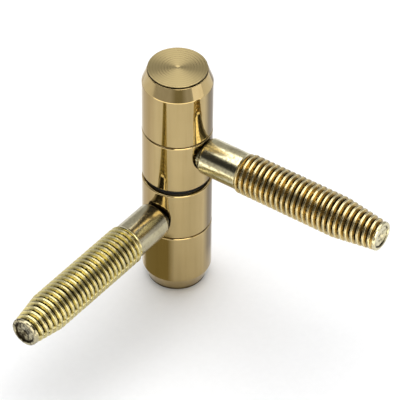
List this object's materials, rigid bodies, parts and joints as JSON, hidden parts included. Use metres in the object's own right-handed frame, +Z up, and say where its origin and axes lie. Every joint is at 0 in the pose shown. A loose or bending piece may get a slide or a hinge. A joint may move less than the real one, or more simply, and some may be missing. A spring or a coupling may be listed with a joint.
{
  "type": "drill-in lift-off door hinge",
  "caption": "Lift-off door hinge: brass-capped barrels on one pin, each with a threaded stud that screws into wood.",
  "frame": {"origin": "on the hinge pin's axis, halfway across the gap between the two barrels", "axes": "+Z up along the pin; -X along the frame stud, out of the lower barrel"},
  "size_m": [0.0545, 0.0546, 0.054],
  "materials": {
    "polished_brass": "polished",
    "plated_steel": "yellow-plated steel thread",
    "core_steel": "machined",
    "pin_steel": "ground",
    "washer_plastic": "matt",
    "ring_rubber": "matt",
    "bush_plastic": "matt"
  },
  "bodies": {
    "lower_leaf": {"lower_knuckle_core": "core_steel", "lower_sleeve": "polished_brass", "lower_cap": "polished_brass", "lower_end_disc": "polished_brass", "lower_cap_ring": "ring_rubber", "frame_stud": "plated_steel", "pivot_pin": "pin_steel"},
    "washer": {"thrust_washer": "washer_plastic"},
    "upper_leaf": {"upper_knuckle_core": "core_steel", "upper_sleeve": "polished_brass", "upper_cap": "polished_brass", "upper_end_disc": "polished_brass", "upper_cap_ring": "ring_rubber", "door_stud": "plated_steel", "pin_bush": "bush_plastic"}
  },
  "joints": [
    {"name": "swing", "type": "hinge", "parent": "lower_leaf", "child": "washer", "pos_m": [0, 0, 0], "axis": [0, 0, 1], "continuous": true},
    {"name": "lift_off", "type": "slide", "parent": "washer", "child": "upper_leaf", "axis": [0, 0, 1], "range_m": [0, 0.022]}
  ]
}
